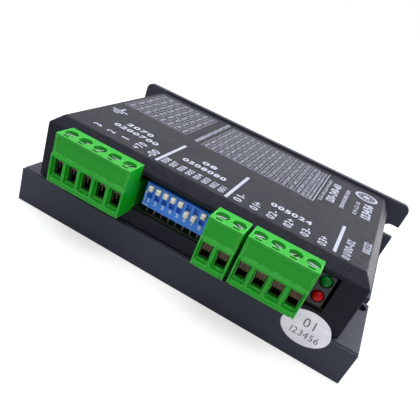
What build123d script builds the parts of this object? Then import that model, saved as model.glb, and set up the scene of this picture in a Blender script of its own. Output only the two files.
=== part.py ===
"""Three-phase stepper driver module: an L-shaped heatsink, a folded cover and the board between them.

Millimetres, +Z up.  The origin is the centre of the base's underside.  X runs along the row of
terminals, -Y is the terminal side and +Y the tall leg of the heatsink.
"""
import os

from build123d import *

os.makedirs("parts", exist_ok=True)

# --- heatsink -------------------------------------------------------------------------------
length = 118.0
width = 75.5
height = 34.0
base_top = 11.6
plate_thickness = 4.2
wall_thickness = 2.4
wall_corner_radius = 2.6
front_lip_depth = 3.2
seam_setback = 0.5
seam_width = 0.6
seam_depth = 0.9
fin_gap = 3.0
fin_pitch = 5.6
fin_count = 11
mount_rib = (-15.0, 4.0)
slot_width = 4.5
slot_spacing = 112.0
wall_slot_height = 22.8
base_slot_from_front = 32.6
base_hole_from_front = 26.8

left = -length / 2
front = -width / 2
wall_face = width / 2 - wall_thickness

# --- cover ----------------------------------------------------------------------------------
cover_left = left + 5.8
cover_right = left + 111.0
cover_front = front + 1.3
cover_back = wall_face - 0.1
cover_top = 33.1
cover_bottom = base_top + 0.4
sheet = 1.0
cover_chamfer = 3.1
window_left = left + 14.2
window_right = left + 103.4
window_bottom = 17.1
window_top = 28.8
tab_depth = 9.0
tab_reach = 6.5
tab_thickness = 1.6
cover_screw_inset = 14.0

cover_mid_x = (cover_left + cover_right) / 2
cover_mid_y = (cover_front + cover_back) / 2
cover_length = cover_right - cover_left
cover_depth = cover_back - cover_front

# --- main board -----------------------------------------------------------------------------
board_left = cover_left + 2.2
board_right = cover_right - 2.2
board_front = front + 2.7
board_back = wall_face - 2.6
board_top = 17.6
board_thickness = 1.6
board_bottom = board_top - board_thickness
board_screw_inset = 12.0
board_mid_x = (board_left + board_right) / 2
board_mid_y = (board_front + board_back) / 2

# --- screw plugs and their headers ----------------------------------------------------------
pitch = 5.08
plug_bottom = 16.8
plug_top = 32.0
plug_depth = 8.1
plug_low_depth = 8.7
plug_face_step = 26.0
plug_home = front + 1.1
header_front = front + 1.3
header_depth = 11.2
header_height = 8.6
header_top = board_top + header_height
pin_size = 1.0
pin_height = board_top + 4.3
pin_row = header_front + 9.7
tongue_length = 7.4
tongue_bottom = board_top + 0.8
tongue_top = header_top - 0.8
pole_width = 4.0
screw_from_home = 4.05
head_seat = 29.65
head_diameter = 3.8
shank_diameter = 2.9
shank_tip = 24.05
cage_wall = 0.4
cage_bottom = 18.9
cage_height = 7.2
cage_depth = 3.6
cage_width = 3.8
bar_bottom = 23.0
bar_top = 24.0
screw_slot = 0.8
# how far each pole's slot happens to be turned, in degrees, from the first pole on
slot_turns = (24, -32, 58, -12, 74)
test_slot_width = 2.1
test_slot_depth = 0.9
test_slot_from_screw = 2.9

# name, number of poles, left end of the row, how far short of home the plug is left standing
plug_rows = (
    ("motor", 5, left + 14.85, 0.0),
    ("enable", 2, left + 65.75, 1.1),
    ("pulse", 4, left + 77.05, 0.6),
)

# --- DIP switch and lamps -------------------------------------------------------------------
dip_left = left + 42.4
dip_length = 21.5
dip_bottom = 19.8
dip_height = 7.7
dip_face = front + 2.0
dip_depth = 4.4
dip_pitch = 2.54
dip_poles = 8
dip_first = dip_left + 1.86
dip_high = 26.05
dip_travel = 2.2
dip_low_poles = (6, 7)
knob_width = 1.45
knob_height = 1.7
knob_reach = 1.1
slot_margin = 0.1
slot_depth = 1.3

lamp_block_left = left + 97.7
lamp_block_width = 4.8
lamp_block_bottom = 18.3
lamp_block_top = 28.5
lamp_face = front + 1.6
lamp_block_depth = 6.0
lamp_x = left + 100.2
lamp_heights = {"lamp_green": 26.3, "lamp_red": 21.2}
lamp_radius = 1.7


def save(part, name):
    """Label a finished piece and write it as its own STEP file."""
    part.label = name
    export_step(part, f"parts/{name}.step")


def row_points(first, count, step):
    """Evenly spaced positions along a row."""
    return [first + i * step for i in range(count)]


# --- heatsink -------------------------------------------------------------------------------
fin_first = -(fin_count - 1) * fin_pitch / 2
fin_gaps = [
    y for y in row_points(fin_first, fin_count, fin_pitch) if not mount_rib[0] < y < mount_rib[1]
]
with BuildPart() as heatsink:
    with BuildSketch(Plane.YZ.offset(left)):
        with BuildLine():
            Polyline(
                (front, 0),
                (width / 2, 0),
                (width / 2, height),
                (wall_face, height),
                (wall_face, base_top),
                (front, base_top),
                close=True,
            )
        make_face()
        with Locations(*[(y, 0) for y in fin_gaps]):
            Rectangle(
                fin_gap,
                base_top - plate_thickness,
                align=(Align.CENTER, Align.MIN),
                mode=Mode.SUBTRACT,
            )
        with Locations((front + seam_setback, base_top)):
            Rectangle(seam_width, seam_depth, align=(Align.MIN, Align.MAX), mode=Mode.SUBTRACT)
    extrude(amount=length)
    top_corners = heatsink.edges().filter_by(Axis.Y).group_by(Axis.Z)[-1]
    fillet(top_corners, wall_corner_radius)
    for side in (-1, 1):
        end_x = side * length / 2
        with BuildSketch(Plane.XZ.offset(-width / 2)):
            with Locations((side * slot_spacing / 2, wall_slot_height)):
                Circle(slot_width / 2)
            with Locations(((side * slot_spacing / 2 + end_x) / 2, wall_slot_height)):
                Rectangle(abs(end_x) - slot_spacing / 2, slot_width)
        extrude(amount=wall_thickness, mode=Mode.SUBTRACT)
        with BuildSketch(Plane.XY):
            with Locations((side * slot_spacing / 2, front + base_slot_from_front)):
                Circle(slot_width / 2)
            with Locations(((side * slot_spacing / 2 + end_x) / 2, front + base_slot_from_front)):
                Rectangle(abs(end_x) - slot_spacing / 2, slot_width)
            with Locations((side * slot_spacing / 2, front + base_hole_from_front)):
                Circle(slot_width / 2)
        extrude(amount=base_top, mode=Mode.SUBTRACT)

# holes for the cover's screws come up from below, and the board's screws go down from above
cover_screw_x = (cover_left + sheet + 3.4, cover_right - sheet - 3.4)
cover_screw_y = (front + cover_screw_inset, wall_face - cover_screw_inset)
cover_screw_places = [(x, y) for x in cover_screw_x for y in cover_screw_y]
board_screw_x = (board_left + board_screw_inset, board_right - board_screw_inset)
board_screw_y = (board_front + 24.0, board_back - 5.0)
board_screw_places = [(x, y) for x in board_screw_x for y in board_screw_y]
with heatsink:
    with Locations(*[(x, y, 0) for x, y in cover_screw_places]):
        Cylinder(3.2, 8.6, align=(Align.CENTER, Align.CENTER, Align.MIN), mode=Mode.SUBTRACT)
        Cylinder(1.7, base_top, align=(Align.CENTER, Align.CENTER, Align.MIN), mode=Mode.SUBTRACT)
    with Locations(*[(x, y, base_top) for x, y in board_screw_places]):
        Cylinder(1.3, 3.6, align=(Align.CENTER, Align.CENTER, Align.MAX), mode=Mode.SUBTRACT)
save(heatsink.part, "heatsink")

# --- cover ----------------------------------------------------------------------------------
with BuildPart() as cover:
    with BuildSketch(Plane.XY.offset(cover_bottom)):
        with Locations((cover_mid_x, cover_mid_y)):
            Rectangle(cover_length, cover_depth)
    extrude(amount=cover_top - cover_bottom)
    roof_edges = cover.edges().group_by(Axis.Z)[-1]
    front_roof = roof_edges.filter_by(Axis.X).sort_by(Axis.Y)[0]
    end_roof = roof_edges.filter_by(Axis.Y)
    chamfer([front_roof] + list(end_roof), cover_chamfer)
    open_faces = [cover.faces().sort_by(Axis.Z)[0], cover.faces().sort_by(Axis.Y)[-1]]
    offset(amount=-sheet, openings=open_faces)
    with BuildSketch(Plane.XZ.offset(-cover_front - sheet)):
        with Locations(((window_left + window_right) / 2, (window_bottom + window_top) / 2)):
            RectangleRounded(window_right - window_left, window_top - window_bottom, 0.3)
    extrude(amount=2 * sheet, mode=Mode.SUBTRACT)
    for x, y in cover_screw_places:
        tab_align = Align.MIN if x < 0 else Align.MAX
        edge = cover_left + sheet if x < 0 else cover_right - sheet
        with Locations((edge, y, cover_bottom)):
            Box(tab_reach, tab_depth, tab_thickness, align=(tab_align, Align.CENTER, Align.MIN))
        with Locations((x, y, cover_bottom)):
            Cylinder(1.3, 10, mode=Mode.SUBTRACT)
save(cover.part, "cover")

with BuildPart() as cover_screws:
    with Locations(*[(x, y, 8.6) for x, y in cover_screw_places]):
        Cylinder(2.8, 1.8, align=(Align.CENTER, Align.CENTER, Align.MAX))
        Cylinder(1.25, 5.0, align=(Align.CENTER, Align.CENTER, Align.MIN))
    with Locations(*[(x, y, 6.8) for x, y in cover_screw_places]):
        Box(3.6, 0.8, 1.6, mode=Mode.SUBTRACT)
        Box(0.8, 3.6, 1.6, mode=Mode.SUBTRACT)
save(cover_screws.part, "cover_screws")

# --- board and what holds it ----------------------------------------------------------------
header_pin_places = [
    (row_left + pitch * (i + 0.5), pin_row)
    for _, poles, row_left, _ in plug_rows
    for i in range(poles)
]
dip_pin_rows = (dip_face + 1.4, dip_face + dip_depth + 0.6)
dip_pin_places = [(x, y) for x in row_points(dip_first, dip_poles, dip_pitch) for y in dip_pin_rows]
with BuildPart() as main_board:
    with BuildSketch(Plane.XY.offset(board_bottom)):
        with Locations((board_mid_x, board_mid_y)):
            Rectangle(board_right - board_left, board_back - board_front)
        with Locations(*header_pin_places):
            Circle(0.8, mode=Mode.SUBTRACT)
        with Locations(*dip_pin_places):
            Circle(0.4, mode=Mode.SUBTRACT)
        with Locations(*board_screw_places):
            Circle(1.6, mode=Mode.SUBTRACT)
    extrude(amount=board_thickness)
save(main_board.part, "main_board")

with BuildPart() as board_standoffs:
    with BuildSketch(Plane.XY.offset(base_top)):
        with Locations(*board_screw_places):
            RegularPolygon(2.75, 6, major_radius=False)
            Circle(1.6, mode=Mode.SUBTRACT)
    extrude(amount=board_bottom - base_top)
save(board_standoffs.part, "board_standoffs")

with BuildPart() as board_screws:
    with Locations(*[(x, y, board_top) for x, y in board_screw_places]):
        Cylinder(2.75, 1.9, align=(Align.CENTER, Align.CENTER, Align.MIN))
        Cylinder(1.25, 9.2, align=(Align.CENTER, Align.CENTER, Align.MAX))
    with Locations(*[(x, y, board_top + 1.9) for x, y in board_screw_places]):
        Box(3.4, 0.8, 1.8, mode=Mode.SUBTRACT)
        Box(0.8, 3.4, 1.8, mode=Mode.SUBTRACT)
save(board_screws.part, "board_screws")

transistor_height = 2.3
transistor_y = front + 36.0
transistor_x = row_points(-37.5, 6, 15.0)
with BuildPart() as power_transistors:
    with Locations(*[(x, transistor_y, board_bottom) for x in transistor_x]):
        Box(6.6, 6.2, transistor_height, align=(Align.CENTER, Align.CENTER, Align.MAX))
    with Locations(*[(x, transistor_y + 4.4, board_bottom) for x in transistor_x]):
        Box(5.2, 2.6, 0.5, align=(Align.CENTER, Align.CENTER, Align.MAX))
save(power_transistors.part, "power_transistors")

pad_top = board_bottom - transistor_height
with BuildPart() as thermal_pad:
    with BuildSketch(Plane.XY.offset(base_top)):
        with Locations((0, transistor_y)):
            RectangleRounded(86, 13, 1.5)
    extrude(amount=pad_top - base_top)
save(thermal_pad.part, "thermal_pad")

capacitor_radius = 6.25
capacitor_height = 13.0
capacitor_places = [(left + 22.0, front + 48.0), (left + 37.0, front + 48.0)]
with BuildPart() as bus_capacitors:
    with BuildSketch(Plane.XY.offset(board_top)):
        with Locations(*capacitor_places):
            Circle(capacitor_radius)
    extrude(amount=capacitor_height)
    fillet(bus_capacitors.edges().filter_by(GeomType.CIRCLE), 0.8)
save(bus_capacitors.part, "bus_capacitors")

with BuildPart() as filter_inductor:
    with BuildSketch(Plane.XY.offset(board_top)):
        with Locations((left + 55.0, front + 50.0)):
            RectangleRounded(12, 12, 2.5)
    extrude(amount=6.0)
    fillet(filter_inductor.faces().sort_by(Axis.Z)[-1].edges(), 0.8)
save(filter_inductor.part, "filter_inductor")

chip_x = left + 78.0
chip_y = front + 46.0
with BuildPart() as control_chip:
    with BuildSketch(Plane.XY.offset(board_top + 0.1)):
        with Locations((chip_x, chip_y)):
            Rectangle(10, 10)
    extrude(amount=1.4)
    for turn in range(4):
        spokes = Plane(origin=(chip_x, chip_y, board_top), z_dir=(0, 0, 1)).rotated((0, 0, 90 * turn))
        with BuildSketch(spokes):
            with Locations(*[(5.5, y) for y in row_points(-4.4, 12, 0.8)]):
                Rectangle(1.2, 0.3)
        extrude(amount=0.5)
save(control_chip.part, "control_chip")

with BuildPart() as optocouplers:
    with Locations(*[(left + x, front + 24.0, board_top) for x in (70.0, 80.0, 90.0)]):
        Box(4.6, 6.5, 3.5, align=(Align.CENTER, Align.CENTER, Align.MIN))
    with Locations(
        *[
            (left + x + dx, front + 24.0 + dy, board_top)
            for x in (70.0, 80.0, 90.0)
            for dx in (-1.27, 1.27)
            for dy in (-3.7, 3.7)
        ]
    ):
        Box(0.6, 1.4, 0.9, align=(Align.CENTER, Align.CENTER, Align.MIN))
save(optocouplers.part, "optocouplers")

with BuildPart() as shunt_resistors:
    with Locations(*[(left + x, front + 24.0, board_top) for x in (30.0, 40.0, 50.0)]):
        Box(6.4, 3.2, 0.7, align=(Align.CENTER, Align.CENTER, Align.MIN))
save(shunt_resistors.part, "shunt_resistors")

# --- DIP switch -----------------------------------------------------------------------------
dip_mid_x = dip_left + dip_length / 2
dip_slot_height = knob_height + dip_travel + 2 * slot_margin
dip_slot_mid = dip_high - dip_travel / 2
dip_columns = row_points(dip_first, dip_poles, dip_pitch)
with BuildPart() as dip_body:
    with BuildSketch(Plane.XZ.offset(-dip_face - dip_depth)):
        with Locations((dip_mid_x, dip_bottom + dip_height / 2)):
            Rectangle(dip_length, dip_height)
    extrude(amount=dip_depth)
    chamfer(dip_body.faces().sort_by(Axis.Y)[0].edges(), 0.2)
    with BuildSketch(Plane.XZ.offset(-dip_face)):
        with Locations(*[(x, dip_slot_mid) for x in dip_columns]):
            Rectangle(knob_width + 2 * slot_margin, dip_slot_height)
    extrude(amount=-slot_depth, mode=Mode.SUBTRACT)
save(dip_body.part, "dip_body")

with BuildPart() as dip_pins:
    with Locations(*[(x, dip_pin_rows[0], dip_bottom) for x in dip_columns]):
        Box(0.5, 0.3, 5.2, align=(Align.CENTER, Align.CENTER, Align.MAX))
    with Locations(*[(x, dip_pin_rows[1], dip_bottom + 4.0) for x in dip_columns]):
        Box(0.5, 0.3, 9.2, align=(Align.CENTER, Align.CENTER, Align.MAX))
    with Locations(*[(x, dip_face + dip_depth, dip_bottom + 4.0) for x in dip_columns]):
        Box(0.5, 0.6, 0.3, align=(Align.CENTER, Align.MIN, Align.MAX))
save(dip_pins.part, "dip_pins")

for pole, x in enumerate(dip_columns, start=1):
    centre_z = dip_high - (dip_travel if pole in dip_low_poles else 0)
    with BuildPart() as dip_slider:
        with BuildSketch(Plane.XZ.offset(-dip_face + knob_reach)):
            with Locations((x, centre_z)):
                Rectangle(knob_width, knob_height)
        extrude(amount=-(knob_reach + slot_depth - slot_margin))
        chamfer(dip_slider.faces().sort_by(Axis.Y)[0].edges(), 0.2)
    save(dip_slider.part, f"dip_slider_{pole}")

# --- status lamps ---------------------------------------------------------------------------
lamp_places = [(lamp_x, z) for z in lamp_heights.values()]
with BuildPart() as lamp_holder:
    with BuildSketch(Plane.XZ.offset(-lamp_face - lamp_block_depth)):
        with Locations(
            (lamp_block_left + lamp_block_width / 2, (lamp_block_bottom + lamp_block_top) / 2)
        ):
            Rectangle(lamp_block_width, lamp_block_top - lamp_block_bottom)
        with Locations(*lamp_places):
            Circle(lamp_radius + 0.2, mode=Mode.SUBTRACT)
    extrude(amount=lamp_block_depth)
    with Locations(
        *[
            (lamp_block_left + lamp_block_width / 2, lamp_face + y, lamp_block_bottom)
            for y in (1.4, lamp_block_depth - 1.4)
        ]
    ):
        Cylinder(0.6, lamp_block_bottom - board_top, align=(Align.CENTER, Align.CENTER, Align.MAX))
save(lamp_holder.part, "lamp_holder")

for name, z in lamp_heights.items():
    with BuildPart() as lamp:
        with BuildSketch(Plane.XZ.offset(-lamp_face - 0.5)):
            with Locations((lamp_x, z)):
                Circle(lamp_radius)
        extrude(amount=-4.5)
        with Locations((lamp_x, lamp_face + 0.5, z)):
            Sphere(lamp_radius)
    save(lamp.part, name)

# --- headers on the board -------------------------------------------------------------------
for name, poles, row_left, _ in plug_rows:
    row_width = poles * pitch
    row_mid = row_left + row_width / 2
    with BuildPart() as header:
        with BuildSketch(Plane.XY.offset(board_top)):
            with Locations((row_mid, header_front + header_depth / 2)):
                Rectangle(row_width, header_depth)
        extrude(amount=header_height)
        with Locations((row_mid, header_front, (tongue_bottom + tongue_top) / 2)):
            Box(
                row_width - 1.6,
                tongue_length + 0.9,
                tongue_top - tongue_bottom + 0.6,
                align=(Align.CENTER, Align.MIN, Align.CENTER),
                mode=Mode.SUBTRACT,
            )
        with Locations(*[(row_left + pitch * (i + 0.5), 0, 0) for i in range(poles)]):
            with Locations((0, header_front + header_depth / 2, pin_height)):
                Box(pin_size, header_depth, pin_size, mode=Mode.SUBTRACT)
            with Locations((0, pin_row, board_top)):
                Box(
                    pin_size,
                    pin_size,
                    pin_height - board_top + pin_size / 2,
                    align=(Align.CENTER, Align.CENTER, Align.MIN),
                    mode=Mode.SUBTRACT,
                )
    save(header.part, f"{name}_header")

with BuildPart() as header_pins:
    with Locations(*[(x, header_front + 1.6, pin_height) for x, _ in header_pin_places]):
        Box(
            pin_size,
            pin_row - header_front - 1.6 + pin_size / 2,
            pin_size,
            align=(Align.CENTER, Align.MIN, Align.CENTER),
        )
    with Locations(*[(x, y, pin_height + pin_size / 2) for x, y in header_pin_places]):
        Box(
            pin_size,
            pin_size,
            pin_height + pin_size / 2 - board_bottom + 1.2,
            align=(Align.CENTER, Align.CENTER, Align.MAX),
        )
save(header_pins.part, "header_pins")

# --- screw plugs ----------------------------------------------------------------------------
bar_width = 2.4
leaf_width = 2.2
leaf_gap = 0.6
for name, poles, row_left, stand_off in plug_rows:
    row_width = poles * pitch
    row_right = row_left + row_width
    row_mid = row_left + row_width / 2
    home = plug_home - stand_off
    screw_y = home - screw_from_home
    columns = row_points(row_left + pitch / 2, poles, pitch)
    with BuildPart() as plug:
        with BuildSketch(Plane.YZ.offset(row_left)):
            with BuildLine():
                Polyline(
                    (home, plug_bottom),
                    (home, plug_top),
                    (home - plug_depth, plug_top),
                    (home - plug_depth, plug_face_step),
                    (home - plug_low_depth, plug_face_step - 0.5),
                    (home - plug_low_depth, plug_bottom),
                    close=True,
                )
            make_face()
        extrude(amount=row_width)
        with Locations((row_mid, home, (tongue_bottom + tongue_top) / 2)):
            Box(
                row_width - 2.2,
                tongue_length,
                tongue_top - tongue_bottom,
                align=(Align.CENTER, Align.MIN, Align.CENTER),
            )
        # flat marking panel across the upper front
        with Locations((row_mid, home - plug_depth, (plug_face_step + plug_top - 0.5) / 2)):
            Box(row_width - 1.6, 0.8, plug_top - plug_face_step - 0.9, mode=Mode.SUBTRACT)
        # joining grooves down both ends of the lower front
        with Locations(
            *[(x, home - plug_low_depth, plug_bottom) for x in (row_left + 0.75, row_right - 0.75)]
        ):
            Box(
                0.35,
                0.8,
                plug_face_step - plug_bottom,
                align=(Align.CENTER, Align.CENTER, Align.MIN),
                mode=Mode.SUBTRACT,
            )
        # one cell for each pole: screw hole, test slot, cage room, wire funnel and contact way
        with Locations(*[(x, screw_y, plug_top) for x in columns]):
            Cylinder(
                2.05,
                plug_top - head_seat,
                align=(Align.CENTER, Align.CENTER, Align.MAX),
                mode=Mode.SUBTRACT,
            )
            Cylinder(
                shank_diameter / 2 + 0.05,
                plug_top - cage_bottom,
                align=(Align.CENTER, Align.CENTER, Align.MAX),
                mode=Mode.SUBTRACT,
            )
        with Locations(*[(x, screw_y - test_slot_from_screw, plug_top) for x in columns]):
            Box(test_slot_width, test_slot_depth, 2.6, align=(Align.CENTER, Align.CENTER, Align.MAX), mode=Mode.SUBTRACT)
        with Locations(*[(x, screw_y, cage_bottom - 0.1) for x in columns]):
            Box(
                pole_width,
                cage_depth + 0.3,
                head_seat - 0.6 - cage_bottom,
                align=(Align.CENTER, Align.CENTER, Align.MIN),
                mode=Mode.SUBTRACT,
            )
        with BuildSketch(Plane.XZ.offset(-home + plug_low_depth)):
            with Locations(*[(x, 21.6) for x in columns]):
                Rectangle(4.2, 6.6)
        extrude(amount=-1.3, taper=16, mode=Mode.SUBTRACT)
        with Locations(*[(x, home - plug_low_depth, 21.6) for x in columns]):
            Box(
                3.45,
                plug_low_depth - screw_from_home,
                4.9,
                align=(Align.CENTER, Align.MIN, Align.CENTER),
                mode=Mode.SUBTRACT,
            )
        with Locations(*[(x, screw_y, bar_top + 0.05) for x in columns]):
            Box(
                bar_width + 0.2,
                screw_from_home + tongue_length,
                bar_top - pin_height + 1.5,
                align=(Align.CENTER, Align.MIN, Align.MAX),
                mode=Mode.SUBTRACT,
            )
    save(plug.part, f"{name}_plug")

    with BuildPart() as contacts:
        with Locations(*[(x, screw_y - 2.6, bar_top) for x in columns]):
            Box(bar_width, 2.6 + screw_from_home - 0.4, 1.0, align=(Align.CENTER, Align.MIN, Align.MAX))
        with Locations(*[(x, home - 0.7, bar_top) for x in columns]):
            Box(bar_width, 0.7, 3.4, align=(Align.CENTER, Align.MIN, Align.MAX))
        for side in (-1, 1):
            leaf_z = pin_height + side * (pin_size / 2 + leaf_gap / 2 + 0.15)
            with Locations(*[(x, home - 0.1, leaf_z) for x in columns]):
                Box(leaf_width, 6.8, 0.4, align=(Align.CENTER, Align.MIN, Align.CENTER))
    save(contacts.part, f"{name}_contacts")

    for pole, x in enumerate(columns, start=1):
        with BuildPart() as clamp:
            with BuildSketch(Plane.XZ.offset(-screw_y - cage_depth / 2)):
                with Locations((x, cage_bottom + cage_height / 2)):
                    RectangleRounded(cage_width, cage_height, 0.4)
                with Locations((x, cage_bottom + cage_wall)):
                    Rectangle(
                        cage_width - 2 * cage_wall,
                        cage_height - cage_wall - 1.0,
                        align=(Align.CENTER, Align.MIN),
                        mode=Mode.SUBTRACT,
                    )
            extrude(amount=cage_depth)
            with Locations((x, screw_y, cage_bottom + cage_height)):
                Cylinder(shank_diameter / 2 + 0.05, 3.0, mode=Mode.SUBTRACT)
        save(clamp.part, f"{name}_clamp_{pole}")

        with BuildPart() as screw:
            with Locations((x, screw_y, head_seat)):
                Cylinder(head_diameter / 2, 1.6, align=(Align.CENTER, Align.CENTER, Align.MIN))
            fillet(screw.faces().sort_by(Axis.Z)[-1].edges(), 0.3)
            with Locations((x, screw_y, head_seat)):
                Cylinder(
                    shank_diameter / 2,
                    head_seat - shank_tip,
                    align=(Align.CENTER, Align.CENTER, Align.MAX),
                )
            with Locations((x, screw_y, head_seat + 1.6)):
                Box(
                    head_diameter + 0.4,
                    screw_slot,
                    1.4,
                    rotation=(0, 0, slot_turns[pole - 1]),
                    mode=Mode.SUBTRACT,
                )
        save(screw.part, f"{name}_screw_{pole}")

# --- foil seal across the seam between cover and heatsink -----------------------------------
seal_x = left + 102.2
seal_z = 10.8
foil = 0.25
with BuildPart() as foil_seal:
    with BuildSketch(Plane.YZ.offset(seal_x - 10)):
        with BuildLine():
            Polyline(
                (front, 0),
                (front, base_top + 0.05),
                (cover_front, cover_bottom + 0.7),
                (cover_front, 20),
                (cover_front - foil, 20),
                (cover_front - foil, cover_bottom + 0.8),
                (front - foil, base_top + 0.15),
                (front - foil, 0),
                close=True,
            )
        make_face()
    extrude(amount=20)
    with BuildSketch(Plane.XZ.offset(-cover_front - 1)):
        with Locations((seal_x, seal_z)):
            Ellipse(7.4, 5.4)
    extrude(amount=5, mode=Mode.INTERSECT)
save(foil_seal.part, "foil_seal")
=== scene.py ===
"""Looks of a stepper driver module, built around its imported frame.

The chassis is an L-shaped finned heatsink with a folded cover.  Three pull-off screw plugs, a
DIP switch bank and two status lamps stand along the front.  Pieces are shaped in millimetres and
scaled to metres as they are finished.
"""

import logging
import math
import random
from dataclasses import dataclass, field
from enum import Enum

import bmesh
import bpy
from mathutils import Matrix, Vector


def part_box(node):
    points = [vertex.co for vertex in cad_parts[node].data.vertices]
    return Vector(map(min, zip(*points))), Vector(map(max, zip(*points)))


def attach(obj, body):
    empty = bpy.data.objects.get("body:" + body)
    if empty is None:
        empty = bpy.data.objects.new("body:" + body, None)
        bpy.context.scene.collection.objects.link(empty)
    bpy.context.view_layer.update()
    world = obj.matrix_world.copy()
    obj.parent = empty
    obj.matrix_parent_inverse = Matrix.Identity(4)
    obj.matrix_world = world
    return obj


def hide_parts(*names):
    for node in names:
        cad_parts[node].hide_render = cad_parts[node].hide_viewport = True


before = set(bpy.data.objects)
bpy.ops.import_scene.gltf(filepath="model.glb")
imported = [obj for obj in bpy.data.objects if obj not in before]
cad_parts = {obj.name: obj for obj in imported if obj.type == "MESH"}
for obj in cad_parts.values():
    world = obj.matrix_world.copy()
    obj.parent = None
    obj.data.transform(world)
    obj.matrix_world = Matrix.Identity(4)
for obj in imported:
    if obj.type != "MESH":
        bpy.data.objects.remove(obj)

Span = tuple[float, float]
Triple = tuple[float, float, float]
Colour = Triple
Node = bpy.types.Node
Socket = bpy.types.NodeSocket
Tree = bpy.types.NodeTree
Corner = bmesh.types.BMVert
Crease = tuple[float, float, float, float]

MM = 0.001
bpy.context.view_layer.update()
CHASSIS = "chassis"
CASE_LEFT = -59.0
CASE_FRONT = -37.75
INK_THICK = 0.02
DIGITS = "0123456789"
X, Y, Z = Vector((1, 0, 0)), Vector((0, 1, 0)), Vector((0, 0, 1))
LOG = logging.getLogger("driver")


def srgb(red: int, green: int, blue: int) -> Colour:
    """Linear colour of an 8-bit display colour.

    Args:
        red: red share, 0 to 255.
        green: green share, 0 to 255.
        blue: blue share, 0 to 255.

    Returns:
        The three linear shares, 0 to 1.
    """
    full, toe, toe_slope, offset, power = 255, 10, 3295, 0.055, 2.4
    return tuple(
        ((c / full + offset) / (1 + offset)) ** power if c > toe else c / toe_slope
        for c in (red, green, blue)
    )


# --- shader node groups shared by the finishes ---------------------------------------------------


class NodeBook:
    """Places shader nodes in one tree and wires them by socket name."""

    def __init__(self, tree: Tree) -> None:
        """Keep the tree that the nodes go in."""
        self.tree = tree

    def add(self, kind: str, **values: object) -> Node:
        """Add a node and set its properties, or its input values where the name is a socket's.

        Args:
            kind: node type without the ShaderNode prefix.
            values: property values, or input values with spaces written as underscores.

        Returns:
            The new node.
        """
        node = self.tree.nodes.new(kind if kind.startswith("Node") else "ShaderNode" + kind)
        for key, value in values.items():
            if hasattr(node, key):
                setattr(node, key, value)
            else:
                node.inputs[key.replace("_", " ")].default_value = value
        return node

    def join(self, source: Socket | Colour | float, target: Socket) -> None:
        """Feed an input from a socket, or set it to a colour or a number.

        Args:
            source: the socket, colour or number.
            target: the input.
        """
        if isinstance(source, Socket):
            self.tree.links.new(source, target)
        else:
            target.default_value = (*source, 1.0) if isinstance(source, tuple) else source

    def sum(self, kind: str, *terms: Socket | float) -> Socket:
        """Place one math node.

        Args:
            kind: the operation, such as MULTIPLY.
            terms: its sockets or numbers, in order.

        Returns:
            The result's socket.
        """
        node = self.add("Math", operation=kind)
        for slot, term in enumerate(terms):
            self.join(term, node.inputs[slot])
        return node.outputs[0]

    def blend(self, share: Socket | float, low: Socket | Colour, high: Socket | Colour) -> Socket:
        """Mix two colours.

        Args:
            share: 0 for low and 1 for high.
            low: a colour or a colour socket.
            high: a colour or a colour socket.

        Returns:
            The mixed colour's socket.
        """
        share_slot, low_slot, high_slot, colour_out = 0, 6, 7, 2
        node = self.add("Mix", data_type="RGBA")
        for slot, value in ((share_slot, share), (low_slot, low), (high_slot, high)):
            self.join(value, node.inputs[slot])
        return node.outputs[colour_out]

    def ramp(self, value: Socket, given: Span, wanted: Span = (0.0, 1.0)) -> Socket:
        """Map a value from one range to another, held at both ends.

        Args:
            value: the socket to map.
            given: the range read.
            wanted: the range put out.

        Returns:
            The mapped value's socket.
        """
        node = self.add(
            "MapRange", From_Min=given[0], From_Max=given[1], To_Min=wanted[0], To_Max=wanted[1]
        )
        self.join(value, node.inputs["Value"])
        return node.outputs["Result"]

    def noise(
        self, place: Socket, scale: Socket | float, detail: float,
        roughness: float = 0.5, distortion: float = 0.0,
    ) -> Socket:
        """Place one noise texture.

        Args:
            place: its coordinates.
            scale: its scale.
            detail: how many finer layers it has.
            roughness: how strong the finer layers are.
            distortion: how far it is stirred.

        Returns:
            The noise value's socket.
        """
        node = self.add("TexNoise", Detail=detail, Roughness=roughness, Distortion=distortion)
        self.join(place, node.inputs["Vector"])
        self.join(scale, node.inputs["Scale"])
        return node.outputs["Fac"]

    def facing(self) -> Node:
        """Place nodes that split the surface's own normal.

        Returns:
            The node whose X, Y and Z outputs are the normal's.
        """
        parts = self.add("SeparateXYZ")
        self.join(self.add("NewGeometry").outputs["Normal"], parts.inputs[0])
        return parts


class Effect(Enum):
    """Surface effects that several finishes share."""

    GRAIN = "surface_grain"
    WRINKLE = "wrinkle_coat"
    WEAR_AND_HIGHLIGHT = "edge_wear"
    DUST = "settled_dust"


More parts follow.
